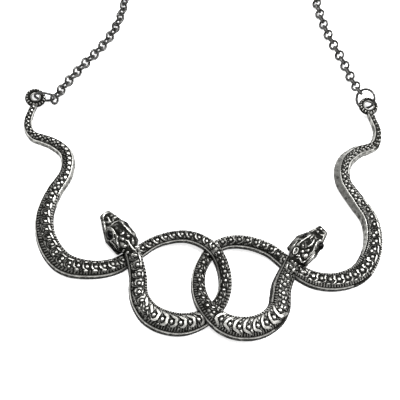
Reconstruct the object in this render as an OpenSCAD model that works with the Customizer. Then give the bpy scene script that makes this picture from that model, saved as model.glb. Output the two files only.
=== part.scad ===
// Snake necklace: two cast snakes hooked together like links, on a round-link
// chain. It lies face up on a table. Z is up, X runs across the necklace and
// Y runs from the snakes (low) to the clasp (high). Millimetres.

/* [Snake bodies] */
// Distance from ring to ring scale along the back
scale_pitch = 3.15; // [3:0.05:3.6]
// How far the ring scales stand out of the back
scale_rise = 0.3; // [0.1:0.05:0.5]
// How deep the gaps between the edge scutes are
scute_depth = 0.25; // [0.1:0.05:0.4]
// Part of a body's height that is plain upright wall
wall_share = 0.62; // [0.5:0.01:0.7]

/* [Heads] */
// Length of a head from its neck to its snout
head_len = 16.0; // [15.5:0.1:17]
// Width of a head across the jaws
head_w = 9.6; // [9.2:0.1:10]
// Length of an eye stone
eye_len = 2.8; // [2.2:0.1:3]
// Diameter of an eye stone
eye_d = 1.8; // [1.5:0.1:2]
// Gap between an eye stone and its socket
eye_gap = 0.1; // [0.08:0.01:0.12]

/* [Tail rings] */
// Radius of a tail ring's middle line
tail_ring_r = 2.6; // [2.5:0.05:2.7]
// Width of a tail ring's tube
tail_tube_w = 1.9; // [1.8:0.05:2]
// Height of a tail ring's tube
tail_tube_h = 2.4; // [2.2:0.05:2.5]
// Height of a tail ring's middle over the table
tail_ring_z = 2.2; // [2.1:0.05:2.3]
// Radial ridges round a tail ring
tail_ridges = 16; // [12:1:18]

/* [Chain and rings] */
// Radius of a link's middle line
link_r = 1.55; // [1.5:0.01:1.6]
// Thickness of a link's wire
link_wire = 0.68; // [0.6:0.01:0.7]
// Radius of a jump ring's middle line
jump_r = 3.3; // [3.28:0.01:3.32]
// Thickness of a jump ring's wire
jump_wire = 0.7; // [0.6:0.01:0.72]
// Links on the left of the clasp
links_left = 61; // [61:1:62]
// Links on the right of the clasp
links_right = 56; // [56:1:57]

/* [Hidden] */

ring_step = scale_pitch / 3;

// Columns of the snake tables, from the tail ring to the neck
X = 0;
Y = 1;
LIFT = 2;
WIDTH = 3;
HEIGHT = 4;
LEAN = 5;
FLARE = 6;

left_snake = [
    // x, y, lift of the base, width, height, outward lean in degrees, flare of each foot
    [-57.4, -25.0, 0.9, 1.9, 2.5, 4, 0],
    [-59.1, -31.0, 0.5, 2.4, 2.7, 8, 0.1],
    [-57.6, -35.7, 0.1, 2.8, 2.8, 10, 0.2],
    [-51.4, -38.1, 0.0, 3.3, 2.9, 10, 0.3],
    [-46.5, -42.0, 0.0, 3.7, 3.0, 10, 0.4],
    [-46.2, -49.0, 0.0, 3.9, 3.0, 10, 0.4],
    [-50.3, -57.0, 0.0, 4.6, 3.0, 8, 0.3],
    [-52.6, -65.5, 0.0, 5.4, 3.0, 5, 0.2],
    [-51.0, -74.0, 0.0, 6.4, 3.0, 2, 0.1],
    [-46.0, -80.3, 0.0, 6.8, 3.0, 0, 0.1],
    [-38.0, -82.0, 0.0, 5.7, 3.0, 0, 0.1],
    [-30.5, -80.7, 0.0, 5.0, 2.9, 0, 0.1],
    [-24.5, -76.8, 0.0, 4.2, 2.7, 0, 0.1],
    [-17.0, -72.0, 0.8, 3.6, 2.8, 0, 0.1],
    [-8.0, -70.3, 1.2, 3.8, 2.9, 0, 0.1],
    [-0.5, -73.9, 2.0, 4.1, 2.9, 0, 0.1],
    [3.6, -80.5, 0.6, 4.1, 2.9, 0, 0.1],
    [3.6, -89.0, 0.0, 4.1, 2.9, 0, 0.1],
    [-1.5, -96.0, 0.0, 5.0, 2.9, 0, 0.1],
    [-10.0, -99.2, 0.0, 7.0, 3.2, 0, 0.1],
    [-18.5, -97.0, 0.0, 7.3, 3.2, 0, 0.1],
    [-22.8, -91.0, 0.0, 6.0, 3.1, 0, 0.1],
    [-23.3, -83.5, 0.4, 5.4, 3.0, 0, 0.1],
    [-25.2, -76.5, 2.2, 4.8, 3.1, 0, 0.1],
];

right_snake = [
    // x, y, lift of the base, width, height, outward lean in degrees, flare of each foot
    [57.1, -21.6, 0.9, 1.9, 2.5, 4, 0],
    [59.2, -28.0, 0.5, 2.4, 2.7, 6, 0.2],
    [57.6, -33.6, 0.1, 2.7, 2.8, 8, 0.5],
    [52.0, -35.9, 0.0, 2.9, 2.9, 8, 0.9],
    [46.8, -40.6, 0.0, 3.2, 3.0, 8, 1.2],
    [45.7, -47.5, 0.0, 3.6, 3.0, 8, 1.3],
    [49.3, -54.5, 0.0, 4.4, 3.0, 8, 1.2],
    [53.4, -62.0, 0.0, 5.2, 3.0, 6, 0.7],
    [53.4, -71.5, 0.0, 6.0, 3.0, 4, 0.3],
    [49.0, -79.8, 0.0, 6.3, 3.0, 2, 0.2],
    [41.0, -83.7, 0.0, 5.8, 3.0, 0, 0.1],
    [32.5, -83.2, 0.0, 5.5, 3.0, 0, 0.1],
    [25.4, -79.0, 0.0, 4.7, 2.8, 0, 0.1],
    [18.5, -73.8, 0.8, 4.4, 2.8, 0, 0.1],
    [10.0, -71.4, 0.9, 4.2, 2.9, 0, 0.1],
    [2.5, -72.6, 0.2, 3.8, 2.8, 0, 0.1],
    [-2.8, -79.0, 0.0, 3.8, 2.8, 0, 0.1],
    [-4.4, -87.0, 0.2, 4.4, 2.9, 0, 0.1],
    [-2.0, -94.8, 1.8, 5.3, 2.9, 0, 0.1],
    [5.0, -99.8, 0.9, 7.1, 3.1, 0, 0.1],
    [14.0, -99.4, 0.0, 7.3, 3.2, 0, 0.2],
    [20.6, -94.2, 0.0, 6.2, 3.1, 0, 0.6],
    [22.3, -86.0, 0.2, 5.3, 3.0, 0, 0.7],
    [25.9, -77.8, 2.1, 4.7, 3.1, 0, 0.2],
];

// Rows between which a body is cut in two, because each crosses itself later
body_cut = 17;

left_ring_pos = [-57.2, -22.3];
right_ring_pos = [56.8, -18.8];

// Middle line of each chain, from the jump ring up to the clasp
left_route = [
    [-51.0, -22.4, 2.2], [-48.3, -17.4, 1.6], [-42.5, -9.0, 1.5], [-36.0, -0.6, 1.5],
    [-31.4, 7.2, 1.5], [-28.6, 15.6, 1.5], [-27.2, 25.0, 1.5], [-26.6, 36.0, 1.5],
    [-26.2, 48.0, 1.5], [-25.6, 60.0, 1.5], [-24.0, 71.5, 1.5], [-20.6, 82.0, 1.5],
    [-15.4, 91.0, 1.5], [-9.3, 97.4, 1.6], [-2.7, 100.4, 2.55],
];
right_route = [
    [53.9, -12.9, 2.6], [52.1, -8.0, 1.7], [48.9, 1.2, 1.5], [45.1, 10.6, 1.5],
    [42.7, 19.4, 1.5], [41.4, 29.0, 1.5], [40.9, 39.0, 1.5], [40.6, 51.0, 1.5],
    [39.8, 63.0, 1.5], [37.8, 74.5, 1.5], [34.2, 84.0, 1.5], [28.6, 92.2, 1.5],
    [21.8, 98.2, 1.6], [14.85, 100.4, 2.25],
];

// One outline of a body, each point as part of half the width and of the height
body_outline = [
    [-1, 0], [-1, wall_share], [-0.82, 0.8], [-0.4, 0.94], [0, 1],
    [0.4, 0.94], [0.82, 0.8], [1, wall_share], [1, 0],
];
crest_reach = 0.5;
scute_at = 0.82;

// A value on the smooth curve through b and c, with a before and d after
function smooth(a, b, c, d, t) =
    0.5 * (2 * b + (c - a) * t + (2 * a - 5 * b + 4 * c - d) * t * t
           + (3 * b - a - 3 * c + d) * t * t * t);
function row_at(rows, i) = rows[max(0, min(len(rows) - 1, i))];
function span_steps(rows, i) =
    max(1, round(norm([rows[i + 1][X] - rows[i][X], rows[i + 1][Y] - rows[i][Y]]) / ring_step));
// The table's rows worked out closely along the smooth curve
function close_rows(rows, first, last) = concat(
    [for (i = [first:last - 1]) let (n = span_steps(rows, i)) for (k = [0:n - 1])
        smooth(row_at(rows, i - 1), rows[i], rows[i + 1], row_at(rows, i + 2), k / n)],
    [rows[last]]);
function heading(line, i) =
    let (d = row_at(line, i + 1) - row_at(line, i - 1)) atan2(d[Y], d[X]);

// Relief: every third ring of the back is low, and every second one of the edge
function relief(u, i) =
    abs(u) < crest_reach ? (i % 3 == 2 ? 0 : scale_rise)
    : abs(u) == scute_at && i % 2 == 1 ? -scute_depth : 0;
function section(row, turn, side, i) =
    let (across = [-sin(turn), cos(turn)],
         roll = row[LEAN] * side * across[0],
         half = row[WIDTH] / 2,
         base = max(0, row[LIFT]) + (half + row[FLARE]) * abs(sin(roll)))
    [for (p = body_outline)
        let (foot = p[1] == 0 ? row[FLARE] : 0,
             a = p[0] * (half + foot), b = p[1] * row[HEIGHT] + relief(p[0], i),
             out = a * cos(roll) + b * sin(roll))
        [row[X] + across[0] * out, row[Y] + across[1] * out,
         base + b * cos(roll) - a * sin(roll)]];

// A closed skin over a list of rings of points
module skin(rings) {
    n = len(rings[0]);
    m = len(rings);
    points = [for (ring = rings) for (p = ring) p];
    walls = [for (i = [0:m - 2]) for (j = [0:n - 1])
        let (k = (j + 1) % n) each [[i * n + j, i * n + k, (i + 1) * n + k],
                                    [i * n + j, (i + 1) * n + k, (i + 1) * n + j]]];
    first_cap = [[for (j = [n - 1:-1:0]) j]];
    last_cap = [[for (j = [0:n - 1]) (m - 1) * n + j]];
    polyhedron(points, concat(walls, first_cap, last_cap), convexity = 10);
}

module body_stretch(rows, side, first, last) {
    line = close_rows(rows, first, last);
    skin([for (i = [0:len(line) - 1]) section(line[i], heading(line, i), side, i)]);
}

// The tail curls into a flat ring with ridges that point at its middle
module tail_ring(pos) {
    n = tail_ridges * 2;
    outline = [for (a = [22.5:45:359]) [cos(a), sin(a)]];
    m = len(outline);
    points = [for (i = [0:n - 1]) let (turn = i * 360 / n, ridge = i % 2 == 0 ? 1 : 0.86)
        for (p = outline)
            let (r = tail_ring_r + p[0] * tail_tube_w / 2 * ridge / cos(22.5))
            [pos[X] + r * cos(turn), pos[Y] + r * sin(turn),
             tail_ring_z + p[1] * tail_tube_h / 2 * ridge / cos(22.5)]];
    faces = [for (i = [0:n - 1]) for (j = [0:m - 1])
        let (i2 = (i + 1) % n, j2 = (j + 1) % m)
        each [[i * m + j, i * m + j2, i2 * m + j2], [i * m + j, i2 * m + j2, i2 * m + j]]];
    polyhedron(points, faces, convexity = 6);
}

// Places a head or an eye: X forward to the snout, Z up, from the neck's base.
// The turn is the way it points and the roll leans it to one side.
TURN = 0;
ROLL = 1;
left_head = [126, 0];
right_head = [46.5, 12];
module at_head(rows, head) {
    neck = rows[len(rows) - 1];
    translate([neck[X], neck[Y], neck[LIFT]]) rotate([head[ROLL], 0, head[TURN]]) children();
}

// Eyes by hand: how far forward and to the left each one sits
left_outer = [8.0, 3.2];
left_inner = [8.0, -3.1];
right_outer = [9.5, -3.3];
right_inner = [8.1, 2.9];
eye_z = 2.7;
eye_splay = 12;
module at_eye(spot) {
    translate([spot[X], spot[Y], eye_z]) rotate([0, 0, sign(spot[Y]) * -eye_splay]) children();
}

module ball(x, y, z, r) {
    translate([x, y, z]) sphere(r, $fn = 14);
}
// Balls on both sides of the middle, each row of the table [x, y, z, radius]
module pairs(table) {
    hull() for (b = table) for (s = [-1, 1]) ball(b[0], s * b[1], b[2], b[3]);
}
module head_solid() {
    half = head_w / 2;
    jaw = [[2.6, half - 1.3, -0.1, 0.9], [7.6, half - 1, -0.4, 0.9],
           [head_len - 4.1, 1.8, -0.3, 0.9], [head_len - 1.3, 0.7, 0.2, 0.9]];
    skull = [[-0.4, 0.3, 1.5, 1.7], [4.2, half - 2.5, 1.7, 2], [8.6, half - 2.8, 2, 1.9]];
    muzzle = [[8.6, half - 2.7, 1.6, 1.7], [head_len - 1.8, 0.9, 1.7, 1.25]];
    brow = [[11, 1.9, 3.2, 0.55], [5.2, 2.9, 3.5, 0.6]];
    crown = [[9.6, 0.2, 3.5, 0.6], [8.2, 1.1, 3.6, 0.5], [5.6, 0.2, 3.8, 0.5]];
    pairs(jaw);
    pairs(skull);
    pairs(muzzle);
    pairs(crown);
    for (s = [-1, 1]) hull() for (b = brow) ball(b[0], s * b[1], b[2], b[3]);
}

// An oval stone, turned about its long axis, with a flat at each tip
module oval(length, d) {
    n = 10;
    points = [for (i = [0:n]) let (t = -1 + 2 * i / n)
        [d / 2 * sqrt(max(0.02, 1 - t * t)), t * length / 2]];
    rotate([0, 90, 0]) rotate_extrude($fn = 32)
        polygon(concat([[0, -length / 2]], points, [[0, length / 2]]));
}
module socket() {
    scale([eye_len / 2 + eye_gap, eye_d / 2 + eye_gap, eye_d / 2 + eye_gap])
        sphere(1.02, $fn = 14);
}

module snake(rows, side, head, eyes) {
    last = len(rows) - 1;
    body_stretch(rows, side, 0, body_cut);
    body_stretch(rows, side, body_cut, last);
    difference() {
        at_head(rows, head) head_solid();
        at_head(rows, head) for (spot = eyes) at_eye(spot) socket();
    }
}

module snakes() {
    color("silver") union() {
        snake(left_snake, -1, left_head, [left_outer, left_inner]);
        snake(right_snake, 1, right_head, [right_outer, right_inner]);
        tail_ring(left_ring_pos);
        tail_ring(right_ring_pos);
    }
}

module eye(rows, head, spot) {
    color("black") at_head(rows, head) at_eye(spot) oval(eye_len, eye_d);
}
module left_eye_outer() { eye(left_snake, left_head, left_outer); }
module left_eye_inner() { eye(left_snake, left_head, left_inner); }
module right_eye_outer() { eye(right_snake, right_head, right_outer); }
module right_eye_inner() { eye(right_snake, right_head, right_inner); }

module wire_ring(r, wire) {
    rotate_extrude($fn = 48) translate([r, 0]) circle(d = wire, $fn = 24);
}

// Jump rings: each goes through its tail ring, over the tube on one side and
// under it on the other
module jump_ring(pos, lean, turn) {
    color("silver") translate(pos) rotate([0, 0, turn]) rotate([lean, 0, 0])
        wire_ring(jump_r, jump_wire);
}
module jump_ring_left() { jump_ring([-54.2, -22.5, 3.65], 80, -4); }
module jump_ring_right() { jump_ring([55.9, -16.1, 2.75], 45, -56); }

// Links stand evenly along a route and lean to each side in turn
route_fine = 12;
function fine_route(route) = concat(
    [for (i = [0:len(route) - 2]) for (k = [0:route_fine - 1])
        smooth(row_at(route, i - 1), route[i], route[i + 1], row_at(route, i + 2), k / route_fine)],
    [route[len(route) - 1]]);
function run(line, i = 1, total = 0, out = [0]) =
    i >= len(line) ? out
    : let (s = total + norm(line[i] - line[i - 1])) run(line, i + 1, s, concat(out, [s]));
module links(route, count) {
    line = fine_route(route);
    along = run(line);
    place = [for (axis = [0:2]) [for (i = [0:len(line) - 1]) [along[i], line[i][axis]]]];
    pitch = along[len(along) - 1] / (count - 1);
    function spot(s) = [for (axis = [0:2]) lookup(s, place[axis])];
    for (i = [0:count - 1]) {
        p = spot(i * pitch);
        d = spot(i * pitch + 0.5) - spot(i * pitch - 0.5);
        translate(p) rotate([0, -atan2(d[2], norm([d[0], d[1]])), atan2(d[1], d[0])])
            rotate([i % 2 == 0 ? 45 : -45, 0, 0]) wire_ring(link_r, link_wire);
    }
}
module chain_left() { color("silver") links(left_route, links_left); }
module chain_right() { color("silver") links(right_route, links_right); }

// Plain closed clasp at the nape, with a ring on each side
clasp_z = 1.75;
clasp_y = 100.4;
module clasp() {
    color("silver") {
        translate([3, clasp_y, clasp_z]) wire_ring(2.9, 1.3);
        translate([5.9, clasp_y, clasp_z]) rotate([0, 90, 0]) cylinder(h = 3.7, r1 = 1.65, r2 = 1.3);
        translate([10.8, clasp_y, clasp_z]) wire_ring(1.35, 0.9);
    }
}
module clasp_ring() {
    color("silver") translate([-0.4, clasp_y, 2.6]) rotate([90, 0, 0]) wire_ring(2.2, 0.8);
}
module end_ring() {
    color("silver") translate([12.8, clasp_y, 2.25]) rotate([90, 0, 0]) wire_ring(1.8, 0.7);
}

snakes();
left_eye_outer();
left_eye_inner();
right_eye_outer();
right_eye_inner();
jump_ring_left();
jump_ring_right();
chain_left();
chain_right();
clasp();
clasp_ring();
end_ring();
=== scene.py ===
import math
import random
from bisect import bisect_right

import bpy
from mathutils import Matrix, Vector
from mathutils.bvhtree import BVHTree


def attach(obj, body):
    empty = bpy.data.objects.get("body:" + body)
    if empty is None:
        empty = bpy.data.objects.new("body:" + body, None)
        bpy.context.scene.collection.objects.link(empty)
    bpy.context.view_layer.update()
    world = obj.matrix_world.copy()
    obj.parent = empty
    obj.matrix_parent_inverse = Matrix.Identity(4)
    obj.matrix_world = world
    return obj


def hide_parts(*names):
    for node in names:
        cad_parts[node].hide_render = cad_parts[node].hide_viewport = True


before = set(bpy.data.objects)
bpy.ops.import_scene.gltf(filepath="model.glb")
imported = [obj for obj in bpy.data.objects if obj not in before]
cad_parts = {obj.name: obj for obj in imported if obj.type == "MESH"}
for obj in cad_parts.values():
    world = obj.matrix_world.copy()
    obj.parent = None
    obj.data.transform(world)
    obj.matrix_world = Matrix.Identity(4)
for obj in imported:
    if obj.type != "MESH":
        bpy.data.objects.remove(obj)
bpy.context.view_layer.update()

# --------------------
# The left snake's body. The real one is cast in white metal and plated with
# silver, then blackened, and its raised scales are rubbed bright again. It is
# made here as a straight strip with its scales on it, which is bent to shape.
# --------------------
MM = 0.001
# Tail to neck in mm: x, y, lift off the table, width, height, lean, flare
left_rows = [
    (-57.4, -25.0, 0.9, 1.9, 2.5, 4, 0), (-59.1, -31.0, 0.5, 2.4, 2.7, 8, 0.1),
    (-57.6, -35.7, 0.1, 2.8, 2.8, 10, 0.2), (-51.4, -38.1, 0, 3.3, 2.9, 10, 0.3),
    (-46.5, -42.0, 0, 3.7, 3, 10, 0.4), (-46.2, -49.0, 0, 3.9, 3, 10, 0.4),
    (-50.3, -57.0, 0, 4.6, 3, 8, 0.3), (-52.6, -65.5, 0, 5.4, 3, 5, 0.2),
    (-51.0, -74.0, 0, 6.4, 3, 2, 0.1), (-46.0, -80.3, 0, 6.8, 3, 0, 0.1),
    (-38.0, -82.0, 0, 5.7, 3, 0, 0.1), (-30.5, -80.7, 0, 5.0, 2.9, 0, 0.1),
    (-24.5, -76.8, 0, 4.2, 2.7, 0, 0.1), (-17.0, -72.0, 0.8, 3.6, 2.8, 0, 0.1),
    (-8.0, -70.3, 1.2, 3.8, 2.9, 0, 0.1), (-0.5, -73.9, 2.0, 4.1, 2.9, 0, 0.1),
    (3.6, -80.5, 0.6, 4.1, 2.9, 0, 0.1), (3.6, -89.0, 0, 4.1, 2.9, 0, 0.1),
    (-1.5, -96.0, 0, 5.0, 2.9, 0, 0.1), (-10.0, -99.2, 0, 7.0, 3.2, 0, 0.1),
    (-18.5, -97.0, 0, 7.3, 3.2, 0, 0.1), (-22.8, -91.0, 0, 6.0, 3.1, 0, 0.1),
    (-23.3, -83.5, 0.4, 5.4, 3.0, 0, 0.1), (-25.2, -76.5, 2.2, 4.8, 3.1, 0, 0.1),
]
X, Y, LIFT, WIDTH, HEIGHT, LEAN, FLARE = range(7)
STRIP_WIDE = 5.0     # the straight strip's width and height
STRIP_HIGH = 3.0
SLICE = 0.21         # the strip's slices along it
BED = 2.42           # how high the strip's blackened bed lies
BED_STEP = 0.19      # the bed's slices across it
BORDER = 0.62        # rim and groove along each side
FLAT = STRIP_WIDE / 2 - BORDER
# The back's arch: how high it is at each part of its half width
ARCH = [(0, 1.0), (0.4, 0.94), (0.82, 0.8), (1, 0.62)]


def arch(part):
    """How high the arch is at this part of its half width"""
    part = min(1.0, abs(part))
    for (a, high_a), (b, high_b) in zip(ARCH, ARCH[1:]):
        if part <= b:
            return high_a + (high_b - high_a) * (part - a) / (b - a)
    return ARCH[-1][1]


def smooth_row(rows, i, t):
    """The sizes between row i and the next, on a smooth curve through all rows"""
    a, b, c, d = (rows[max(0, min(len(rows) - 1, k))] for k in (i - 1, i, i + 1, i + 2))
    return [0.5 * (2 * q + (r - p) * t + (2 * p - 5 * q + 4 * r - s) * t * t
                   + (3 * q - p - 3 * r + s) * t ** 3) for p, q, r, s in zip(a, b, c, d)]


def smooth_line(rows, parts, sizes):
    """A smooth line through the rows, and how far along it each point is by its first sizes"""
    line = [smooth_row(rows, i, k / parts) for i in range(len(rows) - 1) for k in range(parts)]
    line.append(list(rows[-1]))
    far = [0.0]
    for a, b in zip(line, line[1:]):
        far.append(far[-1] + math.dist(a[:sizes], b[:sizes]))
    return line, far


class Walk:
    """The body's middle line, walked from the tail to the neck in mm"""

    def __init__(self, rows, side):
        self.side = side
        self.line, self.far = smooth_line(rows, parts=40, sizes=2)
        self.length = self.far[-1]

    def at(self, far):
        """The body's sizes at a place, and which way it runs there"""
        inside = max(0.0, min(self.length, far))
        high = min(len(self.far) - 1, bisect_right(self.far, inside))
        low = high - 1
        t = (inside - self.far[low]) / max(1e-9, self.far[high] - self.far[low])
        row = [p + (q - p) * t for p, q in zip(self.line[low], self.line[high])]
        before, after = self.line[max(0, low - 1)], self.line[min(len(self.line) - 1, high + 1)]
        turn = math.atan2(after[Y] - before[Y], after[X] - before[X])
        row[X] += (far - inside) * math.cos(turn)
        row[Y] += (far - inside) * math.sin(turn)
        return row, turn

    def border(self, far):
        """The rim and groove take a quarter of a narrow side at most"""
        return min(BORDER, 0.25 * self.at(far)[0][WIDTH] / 2)

    def inner(self, far):
        """From the middle to the inside of the groove"""
        return self.at(far)[0][WIDTH] / 2 - self.border(far)

    def spread(self, far):
        """Real mm across the back for each mm across the strip"""
        return self.inner(far) / FLAT

    def point(self, far, across, high):
        """Where a point of the straight strip ends up, in metres"""
        row, turn = self.at(far)
        half = row[WIDTH] / 2
        border = self.border(far)
        if abs(across) <= FLAT:
            a = across * (half - border) / FLAT
        else:
            a = math.copysign(half - border + (abs(across) - FLAT) / BORDER * border, across)
        b = arch(a / half) * row[HEIGHT] * high / STRIP_HIGH
        slant = row[FLARE] * (1 - b / (ARCH[-1][1] * row[HEIGHT]))
        a += slant * a / half
        roll = math.radians(row[LEAN]) * self.side * -math.sin(turn)
        base = max(0.0, row[LIFT]) + (half + row[FLARE]) * abs(math.sin(roll))
        out = a * math.cos(roll) + b * math.sin(roll)
        return Vector((row[X] - math.sin(turn) * out, row[Y] + math.cos(turn) * out,
                       base + b * math.cos(roll) - a * math.sin(roll))) * MM


def pick_up(piece):
    """Makes this the one selected and active piece"""
    bpy.ops.object.select_all(action="DESELECT")
    piece.select_set(True)
    bpy.context.view_layer.objects.active = piece


def start_from(add, **sizes):
    """Adds a primitive with nothing else selected"""
    bpy.ops.object.select_all(action="DESELECT")
    add(**sizes)
    return bpy.context.object


def copy_of(piece):
    """A copy with its own mesh"""
    copy = piece.copy()
    copy.data = piece.data.copy()
    bpy.context.collection.objects.link(copy)
    return copy


def at_place(place, turn, lean=0):
    """Moves to a place, turned about the upright and then leaning, in degrees"""
    return (Matrix.Translation(place) @ Matrix.Rotation(math.radians(turn), 4, "Z")
            @ Matrix.Rotation(math.radians(lean), 4, "X"))


def join(first, others):
    """Joins the others into the first"""
    pick_up(first)
    for piece in others:
        piece.select_set(True)
    bpy.ops.object.join()
    return first


def put_on(piece, kind, name, **values):
    """Adds a modifier with these values and applies it"""
    pick_up(piece)
    tool = piece.modifiers.new(name, kind)
    for key, value in values.items():
        setattr(tool, key, value)
    bpy.ops.object.modifier_apply(modifier=name)


def rub_bright(piece, dark, bright):
    """Marks each point by its height: 0 stays blackened, 1 is rubbed bright"""
    rubbed = piece.data.attributes.new("rubbed", "FLOAT", "POINT")
    for i, v in enumerate(piece.data.vertices):
        rubbed.data[i].value = max(0.0, min(1.0, (v.co.z - dark) / (bright - dark)))


# The walls near the tail are painted lighter, as where light falls on them; further on they keep
# their own darker tone
PAINTED_LIGHT_WALL = 0.42    # how bright the strip's walls are, out of 1
DARK_WALL = 0.15


def blank_strip(length, painted_light_wall_to):
    """The strip without its scales: walls, bright rims, grooves and a bed.
    Near the tail's end the walls are painted lighter, as where light falls on them, for the given
    length along the strip"""
    strip = start_from(bpy.ops.mesh.primitive_plane_add, size=1)
    bpy.ops.object.mode_set(mode="EDIT")
    bpy.ops.transform.resize(value=(SLICE, STRIP_WIDE, 1))
    bpy.ops.mesh.flip_normals()
    bpy.ops.object.mode_set(mode="OBJECT")
    mesh = strip.data
    mesh.polygons[0].select = False
    for v in mesh.vertices:
        v.select = v.co.y > 0
    for edge in mesh.edges:
        edge.select = all(mesh.vertices[v].select for v in edge.vertices)
    bpy.ops.object.mode_set(mode="EDIT")
    bpy.ops.mesh.select_mode(type="EDGE")
    half = STRIP_WIDE / 2
    # The side's wall, rim and groove from the table up: across, height
    side = [(half, 1.3), (half, 2.7), (half - 0.06, 2.92), (half - 0.2, STRIP_HIGH),
            (half - 0.33, 2.92), (half - 0.38, 2.5), (half - 0.48, 2.3), (half - 0.58, BED)]
    profile = side + [(i * BED_STEP, BED) for i in range(10, -1, -1)]
    profile += [(-y, z) for y, z in reversed(profile[:-1])] + [(-half, 0)]
    y, z = half, 0
    for next_y, next_z in profile:
        bpy.ops.mesh.extrude_region_move(
            TRANSFORM_OT_translate={"value": (0, next_y - y, next_z - z)})
        y, z = next_y, next_z
    bpy.ops.mesh.select_all(action="SELECT")
    bpy.ops.mesh.remove_doubles(threshold=0.0001)
    bpy.ops.mesh.normals_make_consistent(inside=False)
    bpy.ops.transform.translate(value=(SLICE / 2, 0, 0))
    bpy.ops.object.mode_set(mode="OBJECT")
    count = round(length / SLICE)
    put_on(strip, "ARRAY", "length", count=count, use_relative_offset=False,
           use_constant_offset=True, constant_offset_displace=(SLICE, 0, 0),
           use_merge_vertices=True, merge_threshold=0.001)
    bpy.ops.object.mode_set(mode="EDIT")
    bpy.ops.mesh.select_all(action="DESELECT")
    bpy.ops.mesh.select_mode(type="EDGE")
    bpy.ops.mesh.select_non_manifold()
    bpy.ops.mesh.edge_face_add()
    bpy.ops.mesh.select_all(action="SELECT")
    bpy.ops.mesh.normals_make_consistent(inside=False)
    bpy.ops.object.mode_set(mode="OBJECT")
    strip.data.transform(Matrix.Scale(length / (count * SLICE), 4, (1, 0, 0)))
    rub_bright(strip, dark=BED + 0.1, bright=2.9)
    walls = strip.data.attributes["rubbed"].data
    for i, v in enumerate(strip.data.vertices):
        # painted light: near the tail the walls are made lighter, as where light falls on them
        if abs(v.co.y) > half - 0.01:
            walls[i].value = PAINTED_LIGHT_WALL if v.co.x < painted_light_wall_to else DARK_WALL
    return strip


WORN_FROM = 0.34     # above this height a round scale is worn down,
WORN_TO = 0.45       # to this part of what stood there


def scale_boss():
    """A round scale, worn nearly flat on top"""
    boss = start_from(bpy.ops.mesh.primitive_uv_sphere_add, segments=14, ring_count=8, radius=0.56)
    bpy.ops.object.mode_set(mode="EDIT")
    bpy.ops.transform.resize(value=(1, 1.05, 1.1))
    bpy.ops.object.mode_set(mode="OBJECT")
    for v in boss.data.vertices:
        v.co.z = min(v.co.z, WORN_FROM + WORN_TO * (v.co.z - WORN_FROM))
    return boss


def bevelled_bar(size, round_off, steps):
    """A block of this size from end to end, with its edges rounded off"""
    bar = start_from(bpy.ops.mesh.primitive_cube_add, size=1)
    bpy.ops.object.mode_set(mode="EDIT")
    bpy.ops.transform.resize(value=size)
    bpy.ops.mesh.bevel(offset=round_off, segments=steps, affect="EDGES")
    bpy.ops.object.mode_set(mode="OBJECT")
    return bar


def round_bar(points, thick, steps, closed=False):
    """A round bar bent through points (x, y, z, swell)"""
    bar = start_from(bpy.ops.curve.primitive_bezier_curve_add)
    curve = bar.data
    line = curve.splines[0]
    line.bezier_points.add(len(points) - 2)
    line.use_cyclic_u = closed
    for spot, (*place, swell) in zip(line.bezier_points, points):
        spot.co = place
        spot.handle_left_type = spot.handle_right_type = "AUTO"
        spot.radius = swell
    curve.dimensions = "3D"
    curve.resolution_u = steps
    curve.bevel_depth = thick / 2
    curve.bevel_resolution = 2
    curve.use_fill_caps = True
    pick_up(bar)
    bpy.ops.object.convert(target="MESH")
    return bar


BAR_HIGH = 0.55
STEEP = 2.4          # how much steeper a bent scale's sides are than a round bar's


def bent_bar(points, thick, steps):
    """A scale bent through points (along, across, swell), with steep sides and a flat top"""
    bar = round_bar([(x, y, 0, swell) for x, y, swell in points], thick, steps)
    for v in bar.data.vertices:
        high = abs(v.co.z) * STEEP
        v.co.z = math.copysign(min(high, 0.75 * BAR_HIGH + 0.25 * high, BAR_HIGH), v.co.z)
    return bar


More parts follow.
